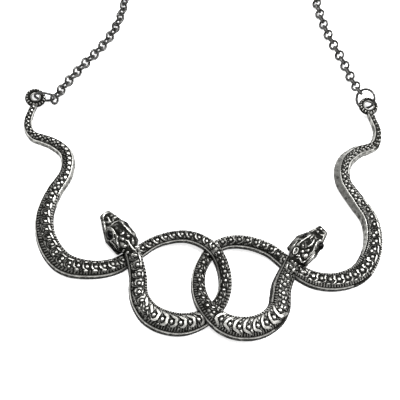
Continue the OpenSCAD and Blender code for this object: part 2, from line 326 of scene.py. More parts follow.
# The scales, each modelled once on a flat bed at z = 0 and in mm. The bent
# ones, by name, thickness, steps and points, are drawn round a boss at 0, 0
# with the head's end of the body at +x.
patterns = {"boss": scale_boss(), "scute": bevelled_bar((0.5, 1.0, 1.1), round_off=0.12, steps=1)}
bent_scales = [
    ("stroke", 0.56, 3, [(-0.8, -0.02, 0.5), (-0.3, 0.05, 1), (0.3, 0.03, 1), (0.8, -0.03, 0.5)]),
    ("flash", 1.15, 4, [(0, 1.75, 0.4), (-0.85, 1.5, 0.9), (-1.45, 0.8, 0.9), (-1.5, -0.2, 0.82),
                        (-1.6, -1.15, 1.1), (-0.75, -1.7, 1), (0.4, -2.4, 0.45)]),
    ("slant flash", 1.05, 4, [(0.95, 2.95, 0.35), (0.25, 2.4, 0.65), (-0.7, 1.75, 0.85),
                              (-1.3, 0.95, 0.9), (-1.5, 0.1, 0.8), (-1.6, -0.5, 0.9),
                              (-1.35, -1.2, 1.1), (-0.5, -1.7, 1), (0.35, -2.55, 0.4)]),
    ("foot", 0.95, 4, [(-2.1, -0.2, 0.5), (-1.7, -0.95, 1.1), (-0.7, -1.5, 1.2), (0.4, -2.3, 0.6)]),
    ("hat", 0.57, 4, [(-1.5, 0.3, 0.5), (-1.15, 0.95, 1), (-0.2, 1.1, 1.1), (0.6, 1.25, 1),
                      (1.2, 1.5, 0.6)]),
    ("hook", 0.44, 3, [(-1.15, 0.6, 0.6), (-1.3, -0.5, 1), (-0.95, -1.25, 1), (0.5, -1.45, 0.7)]),
    ("jay", 0.52, 3, [(-1.15, 1.8, 0.6), (-1.2, 0.5, 1), (-1, -0.6, 1.2), (0.2, -1.1, 0.5)]),
    ("crescent", 0.5, 4, [(-1, 1.3, 0.5), (-1.3, 0.3, 0.9), (-1.05, -0.7, 1.15), (0.5, -1.4, 0.5)]),
    ("wave", 0.52, 3, [(-0.1, 1.6, 0.6), (-1.1, 1.35, 1.1), (-1.5, 0.6, 1), (-1.2, -0.2, 1.1),
                       (-1.5, -1.25, 1.6)]),
    ("bow", 0.44, 3, [(-1.2, 0.6, 0.5), (-0.75, 1.2, 1), (0, 1.4, 1.1), (0.75, 1.2, 1),
                      (1.2, 0.6, 0.5)]),
]
for name, thick, steps, points in bent_scales:
    patterns[name] = bent_bar(points, thick, steps)
for pattern in patterns.values():
    rub_bright(pattern, dark=0.02, bright=0.46)

chance = random.Random(7)


def lay(walk, name, far, across, turn, long, wide, shine):
    """Copies a scale onto the strip, far along it and across from its middle"""
    scale = copy_of(patterns[name])
    scale.data.transform(at_place((far, across, BED), turn) @ Matrix.Diagonal((long, wide, 1, 1)))
    if wide < 0:  # a mirrored scale would be inside out
        scale.data.flip_normals()
    inner, border = walk.inner(far), walk.border(far)
    for v in scale.data.vertices:
        out = min(abs(v.co.y), inner + border - 0.04)
        out = out * FLAT / inner if out <= inner else FLAT + (out - inner) * BORDER / border
        v.co.y = math.copysign(out, v.co.y)
    for spot in scale.data.attributes["rubbed"].data:
        spot.value *= shine
    return scale


def spaced(start, end, pitch):
    """Even places between two ends, about this far apart"""
    count = max(1, round((end - start) / pitch))
    return [start + (i + 0.5) * (end - start) / count for i in range(count)]


def lay_cells(walk, start, end, pitch, aside, cell):
    """Lays a cell's scales round each place of a row that wanders from aside to aside"""
    laid = []
    for far in spaced(start, end, pitch):
        middle = aside[0] + (aside[1] - aside[0]) * (far - start) / (end - start)
        for name, along, across, turn, long, wide, shine in cell:
            laid.append(lay(walk, name, far + along + chance.uniform(-0.05, 0.05),
                            middle + across + chance.uniform(-0.05, 0.05),
                            turn + chance.uniform(-5, 5), long * chance.uniform(0.92, 1.08),
                            wide * chance.uniform(0.92, 1.08), shine * chance.uniform(0.7, 1.0)))
    return laid


def lay_scutes(walk, start, end, side, long, pitch, slant, shine, thick, over=False):
    """A row of narrow scutes along one side, this long; over the worn rim, or inside it"""
    laid = []
    for far in spaced(start, end, pitch):
        outer = walk.at(far)[0][WIDTH] / 2 - 0.02 if over else walk.inner(far)
        size = min(long, 0.7 * outer) * chance.uniform(0.85, 1.1)
        laid.append(lay(walk, "scute", far + chance.uniform(-0.06, 0.06),
                        side * (outer - size / 2), slant + chance.uniform(-7, 7),
                        thick * chance.uniform(0.85, 1.1), size, shine * chance.uniform(0.75, 1.0)))
    return laid


WORN_RIM_HIGH = 2.35
WORN_RIM_SHINE = 0.12
WALL_FOOT = 1.4      # nothing is worn below this


def wear_rim(strip, start, end, side):
    """Takes the rim down to a dark edge where the scutes run out over it"""
    rubbed = strip.data.attributes["rubbed"].data
    for i, v in enumerate(strip.data.vertices):
        if start <= v.co.x <= end and v.co.y * side > FLAT + 0.01 and v.co.z > WALL_FOOT:
            v.co.z = min(v.co.z, WORN_RIM_HIGH)
            rubbed[i].value = min(rubbed[i].value, WORN_RIM_SHINE)


PLATE_HIGH = 0.3     # the low plates between the scales
PLATE_SHINE = 0.38
GAP = 0.23           # the black gap round each scale
BRIGHT_GAP = 0.2     # and where the plates are bright
SLOPE = 0.12         # how wide a plate's slope is, up from a gap
EDGE = 0.13          # and up from the groove


def fill_between(strip, scales, walk, bright_stretches):
    """Raises the bed between the scales into low plates, with a black gap round each scale.
    On the bright stretches (from, to, how bright) the plates are brighter and closer"""
    corners, faces = [], []
    for scale in scales:
        first = len(corners)
        corners += [(v.co.x, v.co.y * walk.spread(v.co.x), v.co.z) for v in scale.data.vertices]
        faces += [[first + k for k in face.vertices] for face in scale.data.polygons]
    outlines = BVHTree.FromPolygons(corners, faces)
    rubbed = strip.data.attributes["rubbed"].data
    for i, v in enumerate(strip.data.vertices):
        if abs(v.co.z - BED) < 0.001 and abs(v.co.y) < FLAT + 0.03:
            spread = walk.spread(v.co.x)
            off = outlines.find_nearest((v.co.x, v.co.y * spread, BED))[3]
            edge = (FLAT - abs(v.co.y)) * spread
            bright = [shine for start, end, shine in bright_stretches if start < v.co.x < end]
            rise = max(0, min(1, (off - (BRIGHT_GAP if bright else GAP)) / SLOPE, edge / EDGE))
            v.co.z += PLATE_HIGH * rise
            rubbed[i].value = (bright[0] if bright else PLATE_SHINE) * rise


PLACES = 64          # points along the bending frame, the most it can have
ACROSS = 11          # and across it, one each 0.625 mm
FRAME_WIDE = 1.25 * STRIP_WIDE
FRAME_HIGH = 3.7
FRAME_LOW = -0.1     # it reaches a little under and over the strip


def bend(strip, walk):
    """Bends the straight strip along the walk with a frame of points"""
    step = walk.length / (PLACES - 3)
    bpy.ops.object.select_all(action="DESELECT")
    bpy.ops.object.add(type="LATTICE")
    bender = bpy.context.object
    grid = bender.data
    grid.points_u, grid.points_v, grid.points_w = PLACES, ACROSS, 2
    grid.interpolation_type_u = "KEY_CATMULL_ROM"
    grid.interpolation_type_v = grid.interpolation_type_w = "KEY_LINEAR"
    long = step * (PLACES - 1)
    bender.scale = (long, FRAME_WIDE, FRAME_HIGH)
    bender.location = (long / 2 - step, 0, FRAME_HIGH / 2 + FRAME_LOW)
    bpy.context.view_layer.update()
    into = bender.matrix_world.inverted()
    for w in range(2):
        for v in range(ACROSS):
            for u in range(PLACES):
                place = walk.point((u - 1) * step, FRAME_WIDE * (v / (ACROSS - 1) - 0.5),
                                   w * FRAME_HIGH + FRAME_LOW)
                grid.points[(w * ACROSS + v) * PLACES + u].co_deform = into @ place
    put_on(strip, "LATTICE", "bend", object=bender)
    bpy.data.objects.remove(bender)


def finish_off(piece, name, material, sharp=180):
    """Names a piece, smooths its edges except the sharp ones, and gives it its material"""
    piece.name = name
    pick_up(piece)
    bpy.ops.object.shade_smooth_by_angle(angle=math.radians(sharp))
    piece.data.materials.clear()
    piece.data.materials.append(material)


# The silver, blackened in the recesses and rubbed bright on the scales. The
# group gives what age does to silver: sooty stains, rubbed spots and scratches.
aged = bpy.data.node_groups.new("aged_silver", "ShaderNodeTree")
for way, kind, names in (("INPUT", "Float", ("Rubbed", "Soot", "Patches")),
                         ("INPUT", "Color", ("Bright",)), ("OUTPUT", "Color", ("Color",)),
                         ("OUTPUT", "Float", ("Roughness", "Metallic", "Height"))):
    for name in names:
        aged.interface.new_socket(name, in_out=way, socket_type="NodeSocket" + kind)


def feed(node, values):
    """Gives a node's inputs their values, or joins them to what other nodes put out"""
    for name, value in values.items():
        if isinstance(value, bpy.types.NodeSocket):
            node.id_data.links.new(value, node.inputs[name])
        else:
            node.inputs[name].default_value = value


def add_node(tree, kind, values=None, **settings):
    """Adds a shader node with these settings, and feeds its inputs"""
    node = tree.nodes.new("ShaderNode" + kind)
    for key, value in settings.items():
        setattr(node, key, value)
    feed(node, values or {})
    return node


def blotches(tree, place, per_metre, detail, low, high, to_low=0.0, to_high=1.0):
    """Uneven spots, this many to a metre, as a value between two limits"""
    noise = add_node(tree, "TexNoise", {"Vector": place, "Scale": per_metre, "Detail": detail})
    return add_node(tree, "MapRange", {
        "Value": noise.outputs["Fac"], "From Min": low, "From Max": high,
        "To Min": to_low, "To Max": to_high}).outputs["Result"]


def maths(tree, how, *values):
    """Works out a value between 0 and 1 from others"""
    node = add_node(tree, "Math", operation=how, use_clamp=True)
    feed(node, dict(enumerate(values)))
    return node.outputs[0]


given = aged.nodes.new("NodeGroupInput").outputs
place = add_node(aged, "TexCoord").outputs["Object"]
stain = blotches(aged, place, given["Patches"], detail=3, low=0.35, high=0.65)
grain = blotches(aged, place, 4000, detail=2, low=0.3, high=0.7)
soot = maths(aged, "MULTIPLY", stain, given["Soot"])
left_bright = maths(aged, "SUBTRACT", given["Rubbed"], soot)
colour = add_node(aged, "Mix", data_type="RGBA")
feed(colour, {"Factor": left_bright, "A": (0.0045, 0.0045, 0.0036, 1), "B": given["Bright"]})
dull = add_node(aged, "MapRange", {"Value": left_bright, "To Min": 0.55, "To Max": 0.24})
feed(aged.nodes.new("NodeGroupOutput"), {
    "Color": colour.outputs["Result"],
    "Roughness": maths(aged, "MULTIPLY_ADD", grain, 0.1, dull.outputs["Result"]),
    "Metallic": maths(aged, "MULTIPLY", left_bright, 2.5), "Height": grain})


def silver_finish(name, bright, soot, patches, rubbed=None):
    """A silver that takes how rubbed it is from its scales, or is even all over"""
    metal = bpy.data.materials.new(name)
    metal.use_nodes = True
    tree = metal.node_tree
    # the rubbed attribute also carries the painted light on the walls near the tails
    if rubbed is None:
        rubbed = add_node(tree, "Attribute", attribute_name="rubbed").outputs["Fac"]
    worn = add_node(tree, "Group", node_tree=aged)
    feed(worn, {"Rubbed": rubbed, "Soot": soot, "Patches": patches, "Bright": (*bright, 1)})
    bump = add_node(tree, "Bump", {"Distance": 0.00001, "Height": worn.outputs["Height"]})
    feed(tree.nodes["Principled BSDF"], {
        "Base Color": worn.outputs["Color"], "Roughness": worn.outputs["Roughness"],
        "Metallic": worn.outputs["Metallic"], "Specular IOR Level": 0.05,
        "Normal": bump.outputs["Normal"]})
    return metal


silver = silver_finish("antique_silver", bright=(0.49, 0.487, 0.46), soot=0.36,
                       patches=1 / 0.0012)


def snake_body(rows, side, painted_light_wall_to, worn_rims, zones, bright_stretches, name):
    """A whole body: the strip, its scales zone by zone, the plates between them, and the bend"""
    walk = Walk(rows, side)
    strip = blank_strip(walk.length, painted_light_wall_to)
    for start, end, edge in worn_rims:
        wear_rim(strip, start, end, edge)
    scales = []
    for zone in zones:
        lay_zone = lay_cells if isinstance(zone[-1], list) else lay_scutes
        scales += lay_zone(walk, *zone)
    fill_between(strip, scales, walk, bright_stretches)
    join(strip, scales)
    bend(strip, walk)
    finish_off(strip, name, silver, sharp=40)
    return strip


# The zones of scales in mm from the tail's end, in the order they are laid.
# Cells: from, to, pitch, aside at both ends, and each scale of a cell as
# pattern, along, across, turn, long, wide, shine. Scutes: from, to, side,
# length, pitch, slant, shine, thickness, and True where they run over the rim.
left_zones = [
    # Tail: small scales in two rows, then a row of bright ones over finer ones
    (0.4, 9, 1.5, (0, 0), [("boss", 0, 0.38, 30, 0.9, 0.62, 0.95),
      ("boss", 0.75, -0.38, -30, 0.8, 0.55, 0.85)]),
    (9, 21, 1.65, (0, 0), [("boss", 0, 0.72, 30, 1, 0.7, 0.95),
      ("boss", 0.85, 0, -30, 0.85, 0.68, 1), ("boss", 0.1, -0.72, 20, 0.8, 0.6, 0.8)]),
    (21, 33, 1.8, (0, 0.1), [("boss", 0, 0.8, 25, 1.3, 1.1, 1),
      ("stroke", 0.9, 0.15, -50, 0.55, 0.8, 0.8), ("stroke", 0.1, -0.75, 40, 0.6, 0.7, 0.6)]),
    (33, 41, 2, (0, 0.1), [("boss", 0, 1, 20, 1.25, 0.9, 0.95),
      ("boss", 1, 0.1, -20, 1.1, 1.1, 0.95), ("stroke", 0.1, -0.95, 50, 0.8, 0.9, 0.75)]),
    # The long side, with a bright wavy ridge along the middle row
    (41.2, 60.7, 2.8, (0.35, 0.7), [("boss", 0, 0, 0, 0.85, 1.2, 0.9),
      ("hat", 0, 0, 0, 0.95, 1, 0.95), ("hook", 0, -0.15, 0, 1, 0.9, 0.75),
      ("stroke", 0.3, -1.1, -10, 0.7, 0.6, 0.4)]),
    (40, 60, 1, 0.75, 1, 38, 0.95, 0.85, True),
    (40, 54, -1, 0.7, 0.84, -5, 0.6, 0.75),
    (54, 68, -1, 0.95, 0.84, -22, 0.55, 0.75),
    # The bend, with a second row of bright scales
    (60.7, 69.4, 2.8, (0.5, 0.3), [("boss", 0, 0, 15, 0.95, 1.2, 1),
      ("hat", 0, 0.15, -5, 0.95, 1, 0.75), ("boss", 0.1, -1.35, 0, 0.95, 0.95, 0.85),
      ("hook", 0, -0.3, 0, 1, 1.1, 0.7), ("stroke", 1.3, -0.5, 60, 0.7, 0.7, 0.5)]),
    (69.4, 83, 2.85, (0.2, 0.35), [("boss", 0, 0, 0, 1.1, 1.2, 1),
      ("jay", -0.05, -0.1, 0, 1.05, 0.95, 1), ("stroke", -0.4, 1.45, 5, 0.9, 0.9, 0.9),
      ("boss", -0.35, -1.45, 0, 1.4, 1, 1), ("stroke", 1, -1.5, 80, 0.5, 0.6, 0.5)]),
    (60, 68, 1, 1.25, 1.2, 28, 0.6, 0.9, True),
    (68, 84, 1, 1.1, 1.2, 4, 0.6, 0.85, True),
    (68, 86, -1, 0.8, 0.84, -6, 0.45, 0.7),
    (84, 93.8, 2.7, (0.2, 0), [("boss", 0, 0, 0, 0.9, 1, 0.9), ("crescent", 0, 0, 0, 1, 1, 0.9)]),
    # The arch that leads down into the ring
    (93.8, 118.2, 2.72, (-0.2, 0.15), [("boss", 0, 0, 10, 1, 1, 1), ("jay", 0.05, 0, 0, 1, 0.95, 1),
      ("stroke", -1.65, 0.65, 88, 0.95, 0.6, 0.6), ("stroke", 0.35, 1.15, 85, 0.45, 0.6, 0.6)]),
    (93, 112, 1, 0.75, 0.72, -4, 0.7, 0.7, True),
    (112, 119, 1, 0.9, 0.9, 22, 0.9, 0.9, True),
    # The side of the ring
    (117.9, 136.2, 3.1, (0.3, -0.8), [("boss", 0, 0, 0, 1, 1, 0.85),
      ("stroke", 1.5, 0.75, 8, 1.2, 0.9, 0.85), ("stroke", 1.6, -0.55, 22, 0.75, 0.85, 0.75),
      ("stroke", 0.2, -1.15, -8, 1.1, 0.6, 0.45)]),
    (119, 138, 1, 1.35, 1, 26, 0.9, 0.85, True),
    (136.2, 143.5, 3, (-0.4, 0), [("boss", 0, 0, 0, 0.95, 1, 0.9),
      ("stroke", 1.4, 0.5, 30, 1.1, 0.9, 0.9), ("stroke", 1.5, -0.9, 30, 1, 0.9, 0.8),
      ("stroke", 0, 1.2, 30, 1, 0.9, 0.8)]),
    # The broad lower bend
    (143.7, 160.9, 2.87, (0.2, 0.05), [("boss", 0, 0, 0, 1, 1.5, 1.25),
      ("flash", 0.13, 0, 0, 1, 1, 0.8), ("stroke", 0.55, 1.95, -55, 0.45, 0.7, 0.6)]),
    (160.9, 166.8, 2.95, (0, 0), [("boss", 0, 0, 0, 0.95, 1.4, 1),
      ("stroke", -1.25, 0.9, -42, 1.1, 0.9, 0.8), ("foot", 0, 0.1, 0, 1, 0.95, 0.8),
      ("bow", 0.1, 0.7, 0, 0.85, 0.9, 0.6), ("boss", 1.3, 2, 0, 0.9, 0.8, 0.7)]),
    (144, 160, 1, 1.3, 0.74, -10, 0.5, 0.6),
    (160, 166, 1, 0.8, 1.3, 10, 0.45, 1.1),
    (144, 166, -1, 0.85, 0.97, -8, 1, 1, True),
    # The neck
    (166.8, 181.2, 2.85, (0.1, -0.4), [("boss", 0, 0, 0, 1.15, 1.3, 1),
      ("stroke", -0.1, -1.2, -14, 1.5, 0.9, 0.9), ("hook", 0, 0.5, 0, 1, -1, 0.85)]),
    (166, 181, 1, 0.75, 1.35, 15, 0.35, 1.2),
    (166, 181, -1, 0.95, 0.95, 18, 1, 0.8, True),
]
left_body = snake_body(
    left_rows, side=-1, painted_light_wall_to=44, worn_rims=[(40, 84, 1), (90, 139, 1), (144, 181, -1)],
    zones=left_zones, bright_stretches=[(41, 69, 0.5), (143.7, 161, 0.8), (161, 181.2, 0.6)],
    name="left_body")
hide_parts("snakes")
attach(left_body, "root")

# --------------------
# The right snake's body, cast in one with the left one where they cross.
# --------------------
right_rows = [
    (57.1, -21.6, 0.9, 1.9, 2.5, 4, 0), (59.2, -28.0, 0.5, 2.4, 2.7, 6, 0.2),
    (57.6, -33.6, 0.1, 2.7, 2.8, 8, 0.5), (52.0, -35.9, 0, 2.9, 2.9, 8, 0.9),
    (46.8, -40.6, 0, 3.2, 3, 8, 1.2), (45.7, -47.5, 0, 3.6, 3, 8, 1.3),
    (49.3, -54.5, 0, 4.4, 3, 8, 1.2), (53.4, -62.0, 0, 5.2, 3, 6, 0.7),
    (53.4, -71.5, 0, 6.0, 3, 4, 0.3), (49.0, -79.8, 0, 6.3, 3, 2, 0.2),
    (41.0, -83.7, 0, 5.8, 3, 0, 0.1), (32.5, -83.2, 0, 5.5, 3, 0, 0.1),
    (25.4, -79.0, 0, 4.7, 2.8, 0, 0.1), (18.5, -73.8, 0.8, 4.4, 2.8, 0, 0.1),
    (10.0, -71.4, 0.9, 4.2, 2.9, 0, 0.1), (2.5, -72.6, 0.2, 3.8, 2.8, 0, 0.1),
    (-2.8, -79.0, 0, 3.8, 2.8, 0, 0.1), (-4.4, -87.0, 0.2, 4.4, 2.9, 0, 0.1),
    (-2.0, -94.8, 1.8, 5.3, 2.9, 0, 0.1), (5.0, -99.8, 0.9, 7.1, 3.1, 0, 0.1),
    (14.0, -99.4, 0, 7.3, 3.2, 0, 0.2), (20.6, -94.2, 0, 6.2, 3.1, 0, 0.6),
    (22.3, -86.0, 0.2, 5.3, 3.0, 0, 0.7), (25.9, -77.8, 2.1, 4.7, 3.1, 0, 0.2),
]
right_zones = [
    # Tail: a herringbone, then a lattice of diamonds
    (0.4, 13, 1.6, (0, 0), [("stroke", 0, 0.42, -50, 1.05, 0.85, 0.95),
      ("boss", 0.5, -0.5, 0, 0.8, 0.6, 0.7)]),
    (13, 31, 1.85, (0, 0), [("stroke", 0, 0.72, -35, 1, 1.1, 1),
      ("stroke", 0, -0.68, 38, 0.9, 0.95, 0.9), ("boss", 0.95, 0.05, 0, 0.75, 0.7, 1)]),
    (31, 42.5, 1.9, (-0.2, -0.5), [("stroke", 0, 1.15, 78, 1.1, 1.05, 1),
      ("boss", 0.5, -0.25, 0, 1.15, 1, 1), ("stroke", -0.45, -0.95, 42, 0.65, 0.9, 0.85)]),
    # The long side: a bright band next to the middle row, a herringbone on the other side
    (42.2, 53, 2.7, (0.1, 0.1), [("boss", 0, 0, 0, 1, 1.05, 0.95),
      ("crescent", 0, -0.05, 0, 1, 1, 1), ("stroke", 0.2, 1.5, 3, 1.55, 1.7, 0.95),
      ("stroke", 0.1, -1.65, 8, 1.1, 0.7, 0.8), ("stroke", 1.3, -1.1, -35, 0.7, 0.6, 0.75),
      ("stroke", -1.9, 0.6, 95, 0.7, 0.5, 0.7)]),
    (53.2, 64.7, 2.87, (0.45, 0.25), [("boss", 0, 0, 20, 1.1, 1.2, 1),
      ("boss", 1.05, -1, 0, 1, 1.05, 0.95), ("hat", 0.1, 0.1, 0, 1.05, 1.05, 1),
      ("hook", 0.2, -0.4, 0, 0.95, 0.9, 0.75), ("stroke", 0.3, -1.95, 12, 0.9, 0.7, 0.7),
      ("stroke", -0.9, -0.3, 70, 0.6, 0.6, 0.6)]),
    (42, 68, 1, 0.75, 0.76, 26, 0.9, 0.8, True),
    (42, 64, -1, 0.6, 0.8, -45, 0.6, 0.7),
    # The bend
    (64.9, 91, 2.93, (0.1, -0.6), [("boss", 0, 0, 0, 1.25, 1.35, 0.95),
      ("wave", 0, 0.05, 0, 1, 0.95, 1), ("stroke", 0.6, 1.6, 8, 1, 1, 0.9),
      ("stroke", 0.2, -1.55, 8, 0.9, 0.6, 0.5)]),
    (68, 92, 1, 1, 0.79, 2, 0.85, 0.85),
    (64, 92, -1, 1.15, 0.92, -32, 0.8, 0.85, True),
    # The arch that leads down into the ring
    (91, 98.4, 2.5, (0.2, 0), [("boss", 0, 0, 0, 1, 1.1, 0.9), ("crescent", 0, 0, 0, 1, 1, 0.9)]),
    (98.4, 120, 2.72, (0, -0.1), [("boss", 0, 0, 0, 1, 1.15, 0.85),
      ("wave", 2.75, -0.1, 0, 0.85, 0.8, 0.9), ("stroke", 0.1, 1.4, 5, 0.8, 0.7, 0.4),
      ("hook", 0.1, 0.4, 0, 0.85, 0.8, 0.4)]),
    (98, 120, 1, 0.5, 0.9, 0, 0.3, 0.7),
    (98, 120, -1, 1.05, 0.86, -8, 0.9, 0.85, True),
    # The side of the ring
    (120.5, 148.5, 3.05, (0, 0.4), [("boss", 0, 0, 0, 1, 1, 0.85),
      ("stroke", -1.4, 0.95, 28, 1.1, 0.95, 0.85), ("stroke", 0.3, 1.6, -30, 0.9, 0.9, 0.75),
      ("boss", -1.4, -0.85, 0, 1.2, 0.95, 0.6)]),
    (122, 136, 1, 0.55, 1.1, -30, 0.6, 0.8, True),
    (136, 149, 1, 0.9, 1.2, 32, 0.85, 0.9, True),
    (122, 149, -1, 0.75, 0.76, -6, 0.6, 0.75),
    # The broad lower bend
    (148.6, 172.4, 2.97, (0.1, -0.5), [("boss", 0, 0, 0, 1.05, 1.5, 1.25),
      ("slant flash", 0.13, 0.1, 0, 1, 1, 0.8), ("stroke", 0.45, 1.6, 48, 0.8, 1.2, 0.6)]),
    (149, 173, 1, 0.85, 1.15, 4, 1, 1.15, True),
    (149, 173, -1, 0.9, 0.74, -6, 0.6, 0.65),
    # The neck
    (172.4, 187, 2.95, (-0.8, -0.2), [("boss", 0, 0, 0, 1.2, 1.35, 1),
      ("stroke", -0.9, 1.35, 32, 1.15, 0.95, 0.9), ("stroke", -1.5, -0.95, -25, 1, 1.2, 0.9)]),
    (173, 187, 1, 0.65, 0.85, -25, 0.7, 0.8),
    (173, 187, -1, 0.6, 1.3, -35, 0.85, 1, True),
]
right_body = snake_body(
    right_rows, side=1, painted_light_wall_to=62,
    worn_rims=[(2, 14, 1), (31, 74, 1), (64, 92, -1), (98, 120, -1), (122, 173, 1), (166, 188, -1)],
    zones=right_zones, bright_stretches=[(148.6, 172.4, 0.8), (172.4, 187, 0.5)],
    name="right_body")
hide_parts("snakes")
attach(right_body, "root")
for pattern in patterns.values():
    bpy.data.objects.remove(pattern)

# --------------------
# The heads. Each is a smooth casting, blackened on the crown, with its brows,
# lips, nostrils and small scales raised from it and rubbed bright.
# --------------------
HEAD_LONG = 16.0
HEAD_HALF = 4.8
# The forms that a head is built up from, as balls: from the neck, aside, up, radius
JAW = [(2.6, HEAD_HALF - 1.3, -0.1, 0.9), (7.6, HEAD_HALF - 1, -0.4, 0.9),
       (HEAD_LONG - 4.1, 1.8, -0.3, 0.9), (HEAD_LONG - 1.3, 0.7, 0.2, 0.9)]
SKULL = [(-0.4, 0.3, 1.5, 1.7), (4.2, HEAD_HALF - 2.5, 1.7, 2), (8.6, HEAD_HALF - 2.8, 2, 1.9)]
MUZZLE = [(8.6, HEAD_HALF - 2.7, 1.6, 1.7), (HEAD_LONG - 1.8, 0.9, 1.7, 1.25)]
CROWN = [(9.6, 0.2, 3.5, 0.5), (8.2, 1.1, 3.6, 0.4), (5.6, 0.2, 3.8, 0.4)]
SOCKET = (7.6, 3.3, 2.4)
SOCKET_RADIUS = 1.5
SOCKET_FADE = 0.4
NECK_LONG = 1.5
CROWN_UP = 2
SKIN_SHINE, NECK_SHINE, CROWN_SHINE = 0.3, 0.2, 0.15
GROOVE_DEEP = 0.24
RIDGE_SUNK = 0.1     # of a ridge's thickness
RIDGE_END = 0.4      # how thin a ridge gets at an open end
RIDGE_SWELL = 1.12   # how much thicker than its row says a ridge is made
BOSS_HIGH = 0.36
OFF_SKIN = 1.0       # a point further off than this isn't moved to the skin


def stretched_over(balls):
    """One smooth form stretched over balls on both sides"""
    made = [start_from(bpy.ops.mesh.primitive_uv_sphere_add, segments=20, ring_count=10, radius=r,
                       location=(x, side * y, z)) for x, y, z, r in balls for side in (-1, 1)]
    form = join(made[-1], made[:-1])
    bpy.ops.object.transform_apply(location=True, rotation=True, scale=True)
    bpy.ops.object.mode_set(mode="EDIT")
    bpy.ops.mesh.select_all(action="SELECT")
    bpy.ops.mesh.convex_hull()
    bpy.ops.object.mode_set(mode="OBJECT")
    return form


def inside(place, outline):
    """Whether a point lies inside an outline, seen from above"""
    hit = False
    for (ax, ay), (bx, by) in zip(outline, outline[1:] + outline[:1]):
        if (ay > place.y) != (by > place.y):
            if place.x < ax + (bx - ax) * (place.y - ay) / (by - ay):
                hit = not hit
    return hit


def bare_skull(crown_plate):
    """The head without its scales: half bright, with a dark crown plate and sockets"""
    *forms, crown = [stretched_over(balls) for balls in (JAW, SKULL, MUZZLE, CROWN)]
    head = join(crown, forms)
    put_on(head, "REMESH", "one skin", mode="VOXEL", voxel_size=0.13)
    put_on(head, "SMOOTH", "soften", factor=0.5, iterations=8)
    rubbed = head.data.attributes.new("rubbed", "FLOAT", "POINT")
    for i, v in enumerate(head.data.vertices):
        shine = SKIN_SHINE if v.co.x > NECK_LONG else NECK_SHINE
        if v.co.z > CROWN_UP and inside(v.co, crown_plate):
            shine = CROWN_SHINE
        off = math.dist(v.co, (SOCKET[0], math.copysign(SOCKET[1], v.co.y), SOCKET[2]))
        rubbed.data[i].value = shine * max(0.05, min(1, (off - SOCKET_RADIUS) / SOCKET_FADE))
    return head


def engrave(skull, grooves):
    """Cuts grooves into the skin along lines seen from above, and leaves them black"""
    rubbed = skull.data.attributes["rubbed"].data
    outward = [v.normal.copy() for v in skull.data.vertices]
    top = [(i, v.co.x, v.co.y) for i, v in enumerate(skull.data.vertices) if outward[i].z > 0.05]
    depth = {}
    for points, wide in grooves:
        for (ax, ay), (bx, by) in zip(points, points[1:]):
            long = max(0.0001, (bx - ax) ** 2 + (by - ay) ** 2)
            low_x, high_x = min(ax, bx) - wide, max(ax, bx) + wide
            low_y, high_y = min(ay, by) - wide, max(ay, by) + wide
            for i, x, y in top:
                if low_x < x < high_x and low_y < y < high_y:
                    t = max(0, min(1, ((x - ax) * (bx - ax) + (y - ay) * (by - ay)) / long))
                    off = math.hypot(x - ax - t * (bx - ax), y - ay - t * (by - ay)) / (wide / 2)
                    depth[i] = max(depth.get(i, 0), min(1, 1.5 - off))
    for i, deep in depth.items():
        if deep > 0:
            skull.data.vertices[i].co -= outward[i] * GROOVE_DEEP * deep
            rubbed[i].value *= 1 - deep


def shine_all(piece, value):
    """Marks a whole piece as rubbed this bright"""
    rubbed = piece.data.attributes.new("rubbed", "FLOAT", "POINT")
    for spot in rubbed.data:
        spot.value = value


def on_skin(skull, place):
    """The nearest point on the skull, or the place itself where it is off the skull"""
    found, near, normal, _ = skull.closest_point_on_mesh(Vector(place))
    if found and (near - Vector(place)).length < OFF_SKIN:
        return near, normal
    return Vector(place), Vector((0, 0, 1))


def raised_line(skull, points, thick, shine, closed=False):
    """A rounded ridge laid along the skin, a little sunk in, and thin at its open ends"""
    spots = []
    for i, place in enumerate(points):
        near, normal = on_skin(skull, place)
        open_end = i in (0, len(points) - 1) and not closed
        spots.append((*(near - RIDGE_SUNK * thick * normal), RIDGE_END if open_end else 1))
    ridge = round_bar(spots, RIDGE_SWELL * thick, 5, closed)
    shine_all(ridge, shine)
    return ridge


bead = start_from(bpy.ops.mesh.primitive_uv_sphere_add, segments=14, ring_count=8, radius=1)


def raised_boss(skull, place, wide, long, shine):
    """A round scale standing on the skin"""
    boss = copy_of(bead)
    near, normal = on_skin(skull, place)
    boss.data.transform(Matrix.Translation(near)
                        @ normal.to_track_quat("Z", "X").to_matrix().to_4x4()
                        @ Matrix.Diagonal((long / 2, wide / 2, BOSS_HIGH, 1)))
    shine_all(boss, shine)
    return boss


def set_head(crown_plate, grooves, lines, bosses, ring, neck, turn, roll, name):
    """Finishes a head and sets it on its neck, turned and rolled in degrees"""
    head = bare_skull(crown_plate)
    engrave(head, grooves)
    pieces = [raised_line(head, *line) for line in lines]
    pieces += [raised_boss(head, *boss) for boss in bosses]
    pieces.append(raised_line(head, *ring, closed=True))
    join(head, pieces)
    head.data.transform(Matrix.Scale(MM, 4) @ at_place(neck, turn, roll))
    finish_off(head, name, silver, sharp=60)
    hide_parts("snakes")
    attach(head, "root")


